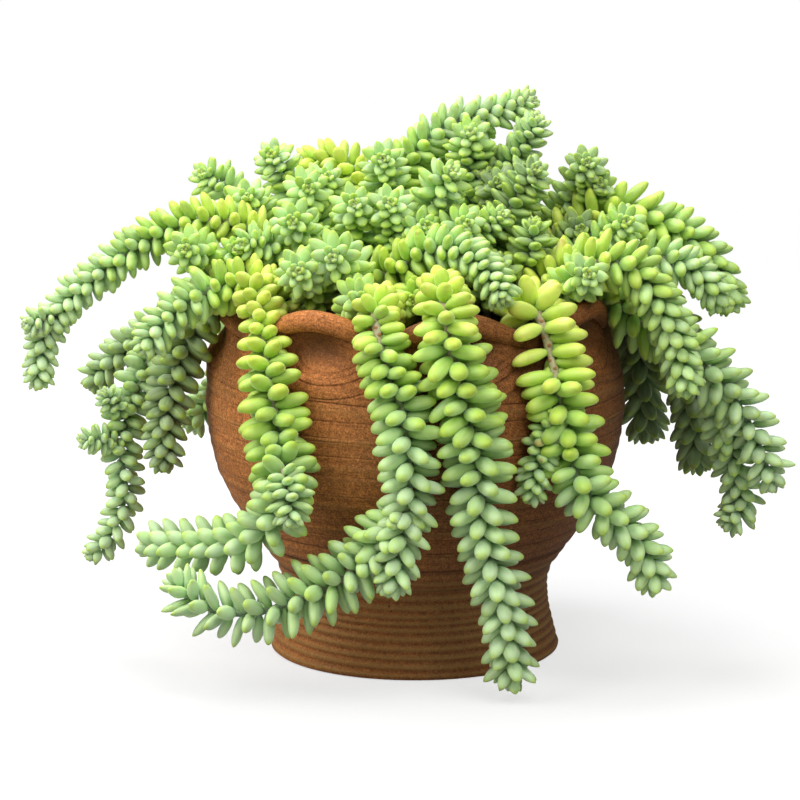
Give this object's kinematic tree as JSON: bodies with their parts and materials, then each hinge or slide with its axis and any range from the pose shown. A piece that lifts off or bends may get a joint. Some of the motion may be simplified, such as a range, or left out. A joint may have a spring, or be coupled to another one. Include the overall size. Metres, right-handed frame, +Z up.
{
  "type": "potted burro's tail plant",
  "caption": "Trailing burro's tail succulent in a thrown terracotta jar: plump-leaved stems fill the mouth, arch over the scalloped rim and hang down the jar's sides.",
  "frame": {"origin": "centre of the jar's foot, on the surface that the jar stands on", "axes": "+Z up; -Y is the pictured front and +X is to the right as seen from the front, the way the widest stems spread"},
  "size_m": [0.416, 0.2918, 0.3053],
  "materials": {
    "earthenware": "matte",
    "soil": "matte",
    "leaves_yellow_green": "satin",
    "leaves_blue_green": "satin",
    "leaves_shaded": "satin",
    "bare_stem": "matte"
  },
  "bodies": {
    "root": {"jar": "earthenware", "soil": "soil", "tail_front_left": "leaves_yellow_green", "tail_front_centre_left": "leaves_yellow_green", "tail_front_centre_right": "leaves_yellow_green", "tail_front_right": "leaves_yellow_green", "tail_left_far": "leaves_yellow_green", "tail_left_front": "leaves_yellow_green", "tail_left_hanging": "leaves_shaded", "tail_left_back": "leaves_shaded", "tail_left_low": "leaves_blue_green", "tail_right_arch": "leaves_yellow_green", "tail_right_upper": "leaves_yellow_green", "tail_right_middle": "leaves_blue_green", "tail_right_long": "leaves_blue_green", "tail_right_hanging": "leaves_shaded", "tail_right_hanging_outer": "leaves_shaded", "tail_crown_arch": "leaves_yellow_green", "tail_top_arch": "leaves_blue_green", "tail_back_pale": "leaves_yellow_green", "tail_back_right": "leaves_yellow_green", "tail_back_right_inner": "leaves_blue_green", "tail_back_centre": "leaves_yellow_green", "tail_back_left_inner": "leaves_yellow_green", "tail_back_left": "leaves_blue_green", "shoot_left_inner": "leaves_blue_green", "shoot_front_left_large": "leaves_blue_green", "shoot_front_left_small": "leaves_blue_green", "shoot_front_rim": "leaves_blue_green", "shoot_centre_high": "leaves_blue_green", "shoot_back_left_high": "leaves_blue_green", "shoot_back_left_outer": "leaves_blue_green", "shoot_left_mid": "leaves_blue_green", "shoot_left_outer": "leaves_blue_green", "shoot_left_high": "leaves_blue_green", "shoot_centre_left": "leaves_blue_green", "shoot_centre_low": "leaves_blue_green", "shoot_centre_right": "leaves_blue_green", "shoot_centre_top": "leaves_blue_green", "shoot_right_inner": "leaves_blue_green", "shoot_right_high": "leaves_blue_green", "shoot_front_right_upright": "leaves_blue_green", "shoot_front_right_rim": "leaves_blue_green", "shoot_right_dark": "leaves_shaded", "shoot_right_outer": "leaves_blue_green", "shoot_front_under_arch": "leaves_blue_green", "shoot_centre": "leaves_blue_green", "shoot_centre_back": "leaves_blue_green", "shoot_left_back_inner": "leaves_blue_green", "shoot_right_front_inner": "leaves_blue_green", "shoot_right_back": "leaves_blue_green", "shoot_middle_dark": "leaves_shaded", "shoot_back_centre": "leaves_blue_green", "shoot_back_right_high": "leaves_blue_green", "shoot_back_right_outer": "leaves_blue_green", "shoot_back_low": "leaves_blue_green", "shoot_back_left_low": "leaves_blue_green", "shoot_back_left_crown": "leaves_blue_green"}
  },
  "joints": []
}
